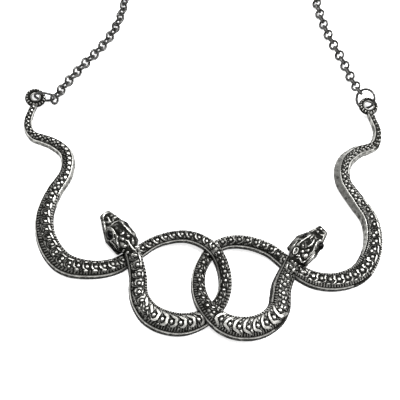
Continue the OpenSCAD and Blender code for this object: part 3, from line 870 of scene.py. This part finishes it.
# Grooves: points from the neck, x to the snout; how wide
left_grooves = [
    ([(13.4, 1.2), (13.8, 0.4), (13.9, -0.3), (13.8, -0.9), (13.3, -1.2)], 0.8),
    ([(13.6, -0.4), (12.9, -0.5), (12.2, -0.2), (11.6, -0.2)], 0.75),
    ([(12.5, -1.3), (12.2, -1.4)], 0.6),
    ([(12.5, 1.4), (12.4, 0.9)], 0.75),
    ([(11.2, 2.4), (10.7, 1.8), (10.8, 0.9)], 0.75),
    ([(10.7, 1.1), (10.8, 0.2), (10.8, -0.7), (10.6, -1.5), (10.5, -2.1)], 0.42),
    ([(9.1, 1.1), (8, 1.2), (6.8, 1.4), (6.1, 1.3), (5.3, 1.6), (4.9, 2.2), (3.9, 2.5), (3, 2.8),
      (2.2, 2.9)], 0.42),
    ([(8.6, 1.4), (7.5, 1.9), (6.4, 2.5), (5.1, 3.1), (4.2, 3.3), (3.1, 3.4)], 0.25),
    ([(6.1, 1.2), (5.3, 0.7), (4.6, 0.1), (3.7, -0.4), (3, -1)], 0.5),
    ([(7.7, -1), (7.1, -1.5), (6.2, -1.4), (5.1, -0.8), (4.4, -0.2)], 0.75),
    ([(6.7, -1.5), (5.6, -1.7), (4.3, -2), (3.4, -2.3), (2.6, -2.5)], 0.5),
    ([(2.6, -2.5), (1.6, -2.2), (0.8, -1.6), (0.6, -0.7), (1.2, -0.3), (2.2, -0.5), (3, -1.1),
      (3.4, -1.9)], 0.42),
    ([(4.6, 2.2), (3.9, 1.7), (3.3, 1.2), (2.4, 0.9), (1.7, 1.1), (1.3, 1.6), (1.4, 2.3),
      (2, 3)], 0.5),
    ([(3.5, -0.4), (2.9, 0.3), (2.1, 0.6)], 0.35),
    ([(1.1, 0.5), (0.2, 0.8), (-0.4, 1), (-0.6, 1.7), (-0.1, 2.5), (1.4, 2.8), (2.3, 3.3)], 0.6),
    ([(7.6, 4), (6.5, 3.9), (4.8, 4.2), (3.6, 4.1), (2.8, 3.8)], 0.4),
    ([(5.7, 3.8), (4.6, 3.7), (3.3, 3.6)], 0.3),
]
# Ridges: points; how thick; how bright
left_lines = [
    ([(13.3, 1.8, 2.8), (14.2, 1, 2.9), (14.7, 0, 2.8), (14.3, -0.6, 2.9)], 0.5, 1),
    ([(13.4, 0.8, 3), (13.1, 0.3, 3), (12.4, 0.3, 3), (11.8, 0.5, 3.1), (11.2, 0.4, 3.1)], 0.5, 1),
    ([(12, -0.5, 3.1), (11.7, -1.3, 3.1), (11.7, -2.5, 2.6)], 0.75, 1),
    ([(11.8, -0.8, 3.1), (11.1, -0.5, 3.1)], 0.5, 0.9),
    ([(12.9, -1.9, 2.8), (12.3, -2.6, 2.3), (10.8, -2.2, 3.7)], 0.35, 0.5),
    ([(12.9, 1.9, 2.8), (12.3, 2.2, 2.8), (11.4, 2.4, 2.9)], 0.55, 1),
    ([(12.2, 1.3, 3.1), (11.7, 1.6, 3.1)], 0.4, 0.8),
    ([(10.3, 1, 3.2), (10.4, 0.1, 3.2), (10.4, -0.8, 3.2), (10.4, -1.8, 3.7)], 0.35, 0.75),
    ([(10.9, 2.6, 2.8), (9.9, 1.9, 3.8), (8.8, 1.7, 3.9), (7.7, 1.7, 3.8),
      (6.8, 1.9, 3.8)], 0.45, 0.9),
    ([(6.6, 1.8, 3.8), (5.8, 1.9, 3.7), (5.1, 2.4, 3.8)], 0.85, 1),
    ([(4.8, 2.9, 4), (4, 3, 3.5), (2.8, 3.2, 2.9)], 0.65, 1),
    ([(10.1, -1.8, 3.7), (9.1, -2.1, 3.9), (7.6, -2.1, 3.8)], 0.5, 0.7),
    ([(7.7, -2.1, 3.8), (6.4, -2.3, 3.8), (5.2, -2.4, 3.8), (4.1, -2.4, 3.7)], 0.6, 1),
    ([(8.7, -2.5, 3.9), (6.7, -2.5, 4), (5.6, -2.9, 4.1), (4.1, -2.8, 3.6)], 0.35, 0.5),
    ([(5.9, 0.8, 3.9), (5.5, 0.3, 4.3), (5.6, -0.4, 4.2), (6.4, -1, 3.8)], 0.65, 1),
    ([(3.5, 0.4, 3.6), (2.9, -0.1, 3.5), (1.9, 0, 3.5), (1, 0.1, 3.4), (-0.1, 0, 3.4),
      (-0.9, -0.3, 3.1), (-2, -0.5, 2.3)], 0.55, 1),
    ([(2.8, -1.8, 3.5), (2, -1.4, 3.5), (1, -1, 3.4)], 0.85, 1),
    ([(6.8, 4, 1.6), (4.8, 4.1, 2.5), (2.8, 3.8, 1.7)], 0.35, 1),
    ([(12.9, 2.2, 2.6), (11.2, 2.7, 2.5), (9.9, 3.3, 2.3), (9.1, 3.7, 0.5)], 0.4, 0.8),
    ([(9.1, 3.7, 0.5), (7.8, 4, 0.4), (6.4, 4, 0.5)], 0.3, 0.5),
    ([(0.1, -0.8, 3.2), (-0.3, -1.6, 2.8), (0.2, -3.1, 0.8)], 1.5, 0.95),
    ([(-1, -1.5, 2.5), (-2.4, -1.4, 1.9), (-4.2, -0.1, 1.8)], 0.8, 0.95),
]
# Round scales: place, width, length, how bright
left_bosses = [
    ((12.9, -1, 3), 1, 0.7, 0.5), ((4.1, -1.1, 3.7), 1, 1, 1), ((4.2, 0.9, 3.7), 1, 1.2, 1),
    ((4.8, 1.3, 3.7), 0.8, 0.8, 0.4), ((2, 1.6, 3.5), 1.1, 1, 1), ((2.6, 2.4, 3.4), 0.9, 0.8, 0.4),
    ((0, 1.9, 2.7), 0.9, 0.9, 1), ((1.2, 2.8, 2.4), 0.6, 1.2, 0.7),
    ((-1.4, 1.1, 2.6), 1.1, 1, 0.85), ((-2.8, 0.6, 2.5), 0.7, 1.1, 0.95),
    ((-1.4, 2.5, 1.8), 0.9, 0.8, 0.5), ((5.9, 3.2, 3.9), 0.6, 0.6, 0.9),
    ((8.5, 3.8, 0.5), 0.6, 0.6, 0.8),
]
# The ridge round the left socket, and the outline of the dark plate on the crown
left_socket = ([(9.1, 2.5, 3.8), (8.2, 2, 3.9), (6.8, 2.5, 4), (6, 3.4, 3.5), (6.4, 4, 2.1),
    (8, 3.9, 0.5), (8.9, 3.8, 1.8), (9.4, 3.2, 2.6)], 0.4, 0.42)
left_plate = [(9.8, 1.4), (10.3, -0.9), (9.6, -1.8), (7.3, -1.8), (6.2, -0.8), (5.6, 0.6),
    (6.3, 1.4), (8, 1.5)]
set_head(left_plate, left_grooves, left_lines, left_bosses, left_socket,
         neck=(-25.2, -76.5, 2.2), turn=126, roll=0, name="left_head")
right_grooves = [
    ([(14.2, 1.7), (14.7, 1.2), (15.2, 0.3), (14.9, -1)], 0.85),
    ([(14.7, 0.9), (14.6, 0)], 0.7),
    ([(12.8, 1.8), (13.1, 1.3), (13.2, 0.5), (13.3, -0.4), (13.4, -0.8)], 0.6),
    ([(13.3, 0.5), (13.1, -0.1)], 0.7),
    ([(11.2, 1.9), (11.3, 1.2), (11.3, 0.5), (11.7, -0.1), (12, -1)], 0.85),
    ([(11.4, 0.3), (11.3, -0.6), (11.7, -1.2)], 0.8),
    ([(9.8, -0.1), (11, -0.9), (11.6, -1.3)], 0.6),
    ([(9.5, -0.4), (8.5, -0.6), (7.4, -0.8), (6.7, -1.2), (6, -1.9)], 0.6),
    ([(9.5, 1.5), (8, 1.7), (6.8, 2.1), (5.7, 2.3), (4.8, 2.3), (4.1, 1.9)], 0.5),
    ([(10.3, 0.8), (9.1, 1), (7.9, 1.4)], 0.25),
    ([(5.9, 1.8), (5.1, 1), (4.2, 0.3), (3.6, -0.5)], 0.4),
    ([(4.4, 2.2), (3.7, 1.8), (3.1, 1.2)], 0.6),
    ([(6.2, -0.5), (5.2, -0.2), (4.3, 0.3), (3.1, 1.2)], 0.5),
    ([(6.2, -0.5), (6.4, -1.5)], 0.7),
    ([(5.8, -1.6), (4.6, -1.4), (3.6, -0.6), (2.5, 0.1)], 0.55),
    ([(3.2, 2.4), (2.5, 2.9), (1.8, 2.8), (1, 2.4), (0.4, 1.8), (0.8, 1.3), (1.4, 0.8), (2.1, 0.7),
      (2.9, 1.3), (3.3, 1.9), (3.2, 2.4)], 0.42),
    ([(2.3, -0.1), (1.7, -0.6), (1.4, -1.4), (1.8, -2.2), (2.5, -2.6), (3.2, -2.1), (4.1, -1.8),
      (5, -1.4)], 0.65),
    ([(1.9, -1.1), (2, -1.9)], 0.6),
    ([(5.9, -2.4), (4.7, -2.6), (3.4, -2.8), (2.4, -3), (1.6, -3)], 0.4),
    ([(6.9, -2.7), (5.8, -2.6)], 0.3),
    ([(0.9, 0.3), (0, 0.8), (-0.8, 1.1)], 0.5),
    ([(0.6, -0.5), (-0.2, -1), (-0.4, -1.7), (0.8, -2.6)], 0.55),
    ([(-1, 0.1), (-0.9, -0.5)], 0.5),
    ([(-2.3, -0.1), (-1.8, -0.4)], 0.5),
    ([(-3.8, -0.5), (-3, -0.8), (-2, -1.4)], 0.55),
    ([(5.3, 3.2), (5.1, 3.5), (4.2, 3.5), (3.2, 3.4)], 0.5),
]
right_lines = [
    ([(11.1, 2.4, 3.3), (13.1, 2.2, 2.5), (14, 1.9, 2.5)], 0.4, 0.6),
    ([(12.5, -0.3, 3), (13, -1.1, 3), (14, -1.3, 2.9)], 0.6, 1),
    ([(13.1, -1.3, 3), (11.8, -1.8, 3)], 0.7, 0.95),
    ([(14.1, -0.2, 2.9), (14.3, -0.9, 2.9)], 0.5, 0.9),
    ([(4.6, 2.9, 3.7), (5.7, 2.7, 4), (6.8, 2.4, 3.9), (8.2, 2.2, 3.9), (9.4, 2, 3.8),
      (10.1, 2, 3.8)], 0.5, 0.95),
    ([(8.2, 1.5, 3.9), (9.2, 1.2, 3.8), (10.5, 1.2, 3.2)], 0.5, 1),
    ([(8.9, 3.7, 2.8), (10.2, 3.1, 2.5), (10.4, 2.3, 3.7)], 0.4, 0.6),
    ([(6, 3.5, 3.2), (6.4, 2.8, 4), (7.6, 2.6, 4)], 0.4, 0.6),
    ([(9.2, 0.4, 4.1), (8.3, 0, 4.2), (7.3, -0.2, 4.2), (6.1, -0.1, 4.3),
      (5.1, 0.3, 3.7)], 0.45, 1),
    ([(10.4, 0.7, 3.2), (10, 0, 3.9), (10.8, -0.6, 3.1)], 0.5, 1),
    ([(7, -2.4, 3.9), (7.9, -1.6, 3.8), (8.9, -1.1, 3.9), (10.3, -1.2, 3.2), (10.9, -1.6, 3.6),
      (11.7, -2.4, 2.8)], 0.6, 1),
    ([(7.5, -1.4, 3.8), (6.3, -2, 3.8), (5, -2.2, 3.7)], 0.45, 0.9),
    ([(6.5, -2.4, 3.9), (4.6, -2.7, 3.7), (2.9, -2.8, 3.3), (1.8, -2.7, 2.8)], 0.4, 0.6),
    ([(5.8, -3.2, 3.9), (4.3, -3.4, 3.4), (3, -3.4, 2.9), (2.3, -3.5, 1.9)], 0.65, 1),
    ([(6, 3.9, 2.7), (4.4, 3.9, 2.7), (2.9, 3.7, 2.2)], 0.6, 0.45),
    ([(4.8, 3.7, 3), (3, 3.5, 2.8), (1.7, 3, 2.3)], 0.4, 0.95),
    ([(1.9, 3.3, 0.4), (-1.1, 1.6, 2.4)], 0.4, 0.8),
    ([(5, 2.1, 3.7), (4.8, 1.5, 3.7), (4.2, 0.9, 3.7)], 0.75, 1),
    ([(1.3, -0.6, 3.4), (0.8, -1.5, 3.2), (1.1, -2.3, 2.9), (2, -2.7, 3)], 0.55, 1),
    ([(1, 0.7, 3.4), (1.5, 0, 3.4), (1.1, -0.7, 3.4)], 0.5, 1),
    ([(0.2, 0.1, 3.3), (1, -0.6, 3.4)], 0.4, 0.9),
    ([(-2.4, 1.2, 1.9), (-3.5, 0.4, 2.3), (-4.4, -0.3, 2.3)], 0.6, 1),
    ([(0.9, -4.1, 1.4), (0.6, -5, 2), (0.6, -6, 2)], 0.5, 1),
    ([(0.6, -6.3, 2.2), (0.4, -7.4, 2.8)], 0.5, 0.95),
]
right_bosses = [
    ((13.9, 0.8, 3), 0.8, 0.8, 1), ((12.4, 1.9, 2.9), 0.6, 0.6, 0.9), ((12.3, 1, 3), 0.8, 1, 0.85),
    ((6.7, 1.5, 3.8), 0.5, 0.5, 0.5), ((3.3, 0.2, 3.6), 1, 1.1, 1),
    ((4.9, -0.8, 3.7), 0.8, 1.2, 0.9), ((3, -1.5, 3.6), 1.3, 1.7, 1),
    ((-1.5, 0.4, 3), 0.8, 0.9, 0.7), ((-1.3, -0.9, 2.9), 0.9, 1.2, 1),
    ((-2.8, -0.3, 2.6), 1.1, 0.7, 0.8), ((-0.4, -2.7, 1.4), 1.3, 1.8, 0.75),
    ((-2.9, -1.9, 2.5), 1, 1.6, 0.9), ((2.5, -3.9, 0.7), 1, 1.6, 0.6),
    ((-0.9, -4.4, 2), 1.3, 1.1, 0.75),
]
# A raised oval at the back of the head
right_oval = ([(2.7, 2.7, 3.3), (3, 2.1, 3.6), (2.2, 1.4, 3.5), (1.3, 1.3, 3.4), (0.8, 1.7, 3.1),
    (1.6, 2.4, 3.1)], 0.4, 0.85)
right_plate = [(6.7, 2), (8.3, 1.6), (9.3, 0.4), (7.8, -0.2), (6.2, 0), (5.3, 0.8)]
set_head(right_plate, right_grooves, right_lines, right_bosses, right_oval,
         neck=(25.9, -77.8, 2.1), turn=46.5, roll=12, name="right_head")
bpy.data.objects.remove(bead)

# --------------------
# The tail ends: each tail curls into a small blackened ring, cast in one with
# it, with short ridges across its top and a smooth lip round its hole.
# --------------------
RING_UP = 2.2        # the ring's middle off the table, and its ridges' and lip's
RIDGE_UP = 2.75
RING_RADIUS = 2.55
RING_THICK = 1.8
LIP_THICK = 0.6
RING_SHINE, LIP_SHINE = 0.02, 0.5
RIDGES = 18
RIDGE_RADIUS = 2.78
narrow_ridge = bevelled_bar((0.6, 0.52, 1.0), round_off=0.2, steps=2)
broad_ridge = bevelled_bar((0.84, 0.52, 1.0), round_off=0.2, steps=2)


def turned_ring(radius, thick, around, across, place=(0, 0, 0)):
    """A plain round ring, by its middle radius and its wire's thickness"""
    ring = start_from(bpy.ops.mesh.primitive_torus_add, major_segments=around,
                      minor_segments=across, major_radius=radius, minor_radius=thick / 2,
                      location=place)
    bpy.ops.object.transform_apply(location=True, rotation=True, scale=True)
    return ring


def tail_ring(x, y, name, hole):
    """The ring round one tail's end, with its lip at the hole's radius"""
    ring = turned_ring(RING_RADIUS, RING_THICK, around=48, across=12, place=(x, y, RING_UP))
    shine_all(ring, RING_SHINE)
    pieces = []
    for i in range(RIDGES):
        ridge = copy_of(broad_ridge if i % 2 else narrow_ridge)
        ridge.data.transform(at_place((x, y, RIDGE_UP), i * 360 / RIDGES)
                             @ Matrix.Translation((RIDGE_RADIUS, 0, 0))
                             @ Matrix.Rotation(0.5, 4, "Y"))
        shine_all(ridge, chance.uniform(0.45, 1.0))
        pieces.append(ridge)
    lip = turned_ring(hole, LIP_THICK, around=40, across=8, place=(x, y, RIDGE_UP))
    shine_all(lip, LIP_SHINE)
    join(ring, [*pieces, lip])
    ring.data.transform(Matrix.Scale(MM, 4))
    finish_off(ring, name, silver, sharp=50)
    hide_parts("snakes")
    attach(ring, "root")


tail_ring(-57.2, -22.3, "left_tail_ring", hole=1.5)
tail_ring(56.8, -18.8, "right_tail_ring", hole=1.75)
bpy.data.objects.remove(narrow_ridge)
bpy.data.objects.remove(broad_ridge)

# --------------------
# The chains. Each is a run of plain round links of thick silver-plated wire,
# bent, closed and gone dark, that lean to one side and the other in turn. The
# jump rings of the same wire hold them on the tail rings.
# --------------------
wire = silver_finish("wire_silver", bright=(0.24, 0.24, 0.235), soot=0.4,
                     patches=1 / 0.0009, rubbed=0.42)
LINK_RADIUS = 1.48
LINK_WIRE = 0.88
LINK_LEAN = 45
REACH = 0.5          # a link lies along the route from this far before it to this far after
# The chains' middle lines from the jump ring to the nape, in mm
left_route = [
    (-51.0, -22.4, 2.2), (-48.3, -17.4, 1.6), (-42.5, -9.0, 1.5), (-36.0, -0.6, 1.5),
    (-31.4, 7.2, 1.5), (-28.6, 15.6, 1.5), (-27.2, 25.0, 1.5), (-26.6, 36.0, 1.5),
    (-26.2, 48.0, 1.5), (-25.6, 60.0, 1.5), (-24.0, 71.5, 1.5), (-20.6, 82.0, 1.5),
    (-15.4, 91.0, 1.5), (-9.3, 97.4, 1.6), (-2.7, 100.4, 2.55),
]
right_route = [
    (53.9, -12.9, 2.6), (52.1, -8.0, 1.7), (48.9, 1.2, 1.5), (45.1, 10.6, 1.5),
    (42.7, 19.4, 1.5), (41.4, 29.0, 1.5), (40.9, 39.0, 1.5), (40.6, 51.0, 1.5),
    (39.8, 63.0, 1.5), (37.8, 74.5, 1.5), (34.2, 84.0, 1.5), (28.6, 92.2, 1.5),
    (21.8, 98.2, 1.6), (14.85, 100.4, 2.25),
]


def chain(route, count, node, name):
    """Links evenly along a route, leaning left and right in turn"""
    line, far = smooth_line(route, parts=12, sizes=3)

    def spot(s):
        k = max(0, min(len(line) - 2, bisect_right(far, s) - 1))
        return Vector(line[k]).lerp(Vector(line[k + 1]), (s - far[k]) / (far[k + 1] - far[k]))

    link = turned_ring(LINK_RADIUS * MM, LINK_WIRE * MM, around=20, across=8)
    links = []
    for i in range(count):
        s = i * far[-1] / (count - 1)
        links.append(copy_of(link))
        ahead = spot(min(far[-1], s + REACH)) - spot(max(0, s - REACH))
        links[i].data.transform(Matrix.Translation(spot(s) * MM)
                                @ ahead.to_track_quat("X", "Z").to_matrix().to_4x4()
                                @ at_place((0, 0, 0), 0, -LINK_LEAN if i % 2 else LINK_LEAN))
    bpy.data.objects.remove(link)
    run = join(links[0], links[1:])
    finish_off(run, name, wire)
    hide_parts(node)
    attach(run, "root")


chain(left_route, count=61, node="chain_left", name="left_chain")
chain(right_route, count=56, node="chain_right", name="right_chain")


def jump_ring(place, lean, turn, radius, thick, node, name):
    """A ring of one turn of wire, stood up and turned in degrees"""
    ring = turned_ring(radius * MM, thick * MM, around=48, across=12)
    ring.data.transform(at_place(Vector(place) * MM, turn, lean))
    finish_off(ring, name, wire)
    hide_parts(node)
    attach(ring, "root")


jump_ring((-54.2, -22.5, 3.65), lean=100, turn=-4, radius=3.2, thick=0.85,
          node="jump_ring_left", name="left_jump_ring")
jump_ring((55.9, -16.1, 2.75), lean=45, turn=-56, radius=3.27, thick=0.9,
          node="jump_ring_right", name="right_jump_ring")

# --------------------
# The clasp at the nape: a plain closed ring and barrel with a ring at each
# side, of the same wire. Its shape is the CAD's.
# --------------------
for node in ("clasp", "clasp_ring", "end_ring"):
    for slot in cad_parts[node].material_slots:
        slot.material = wire

# --------------------
# The eyes: oval black stones glued into the heads. They are polished, with a
# few paler clouds in the black and hair scratches.
# --------------------
EYE_LONG = 2.9
stone = bpy.data.materials.new("black_stone")
stone.use_nodes = True
tree = stone.node_tree
place = add_node(tree, "TexCoord").outputs["Object"]
clouds = add_node(tree, "Mix", data_type="RGBA")
feed(clouds, {"Factor": blotches(tree, place, 1250, detail=3, low=0.45, high=0.75),
              "A": (0.0015, 0.0015, 0.0018, 1), "B": (0.006, 0.0055, 0.0055, 1)})
scratches = blotches(tree, place, 10000, detail=2, low=0.3, high=0.7)
polish = blotches(tree, place, 1 / 0.0003, detail=2, low=0.4, high=0.7, to_low=0.08, to_high=0.22)
bump = add_node(tree, "Bump", {"Distance": 0.000002, "Height": scratches})
feed(tree.nodes["Principled BSDF"], {
    "Base Color": clouds.outputs["Result"], "Specular IOR Level": 0.05,
    "Roughness": polish, "Normal": bump.outputs["Normal"]})


def eye_stone(place, turn, wide, node, name):
    """An oval stone in its socket, in mm"""
    eye = start_from(bpy.ops.mesh.primitive_uv_sphere_add, segments=32, ring_count=16,
                     radius=wide / 2 * MM)
    bpy.ops.object.mode_set(mode="EDIT")
    bpy.ops.transform.resize(value=(EYE_LONG / wide, 1, 1))
    bpy.ops.object.mode_set(mode="OBJECT")
    eye.data.transform(at_place(Vector(place) * MM, turn))
    finish_off(eye, name, stone)
    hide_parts(node)
    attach(eye, "root")


# Place in mm, turn in degrees, width in mm, CAD node, name
eye_stone((-32.2, -71.9, 5.0), 114, 2.1, "left_eye_outer", "left_outer_stone")
eye_stone((-27.5, -68.3, 5.0), 138, 1.9, "left_eye_inner", "left_inner_stone")
eye_stone((34.85, -73.2, 4.4), 58.5, 2.4, "right_eye_outer", "right_outer_stone")
eye_stone((29.8, -70.5, 5.45), 34.5, 1.9, "right_eye_inner", "right_inner_stone")

# --------------------
# The table, lights and camera: a plain white table that glows a little, as in
# a light tent, two round soft lights, and a camera at the photo's angle.
# --------------------
table = start_from(bpy.ops.mesh.primitive_plane_add, size=3)
table.name = "table"
white = bpy.data.materials.new("white_table")
white.use_nodes = True
feed(white.node_tree.nodes["Principled BSDF"], {
    "Base Color": (0.9, 0.9, 0.9, 1), "Roughness": 0.9,
    "Emission Color": (1, 1, 1, 1), "Emission Strength": 0.7})
table.data.materials.append(white)
MIDDLE = (0, -0.04, 0)


def soft_light(name, place, size, power):
    """A round soft light that shines at the middle of the table"""
    bpy.ops.object.light_add(type="AREA", location=place)
    lamp = bpy.context.object
    lamp.name = name
    lamp.data.shape = "DISK"
    lamp.data.size = size
    lamp.data.energy = power
    aim = Vector(MIDDLE) - Vector(place)
    lamp.rotation_euler = aim.to_track_quat("-Z", "Y").to_euler()


soft_light("window", (0.34, 0.14, 0.44), size=0.3, power=5.5)
soft_light("overhead", (-0.05, 0.15, 0.6), size=0.3, power=5)

world = bpy.data.worlds.new("studio")
world.use_nodes = True
feed(world.node_tree.nodes["Background"], {"Color": (1, 1, 1, 1), "Strength": 0.35})
bpy.context.scene.world = world
bpy.context.scene.view_settings.view_transform = "Standard"

# The camera's stand and what it looks at, and how far it is rolled
stand = Vector((-0.0506, -0.2031, 0.3029))
view = (Vector((-0.0029, -0.0563, 0)) - stand).normalized()
level = view.cross(Vector((0, 0, 1))).normalized()
above = level.cross(view)
roll = math.radians(18.35)
right = math.cos(roll) * level + math.sin(roll) * above
upward = -math.sin(roll) * level + math.cos(roll) * above
camera_data = bpy.data.cameras.new("camera")
camera_data.lens = 94.1
camera_data.sensor_width = 36
camera = bpy.data.objects.new("camera", camera_data)
bpy.context.collection.objects.link(camera)
turned = Matrix((right, upward, -view)).transposed().to_4x4()
camera.matrix_world = Matrix.Translation(stand) @ turned
bpy.context.scene.camera = camera
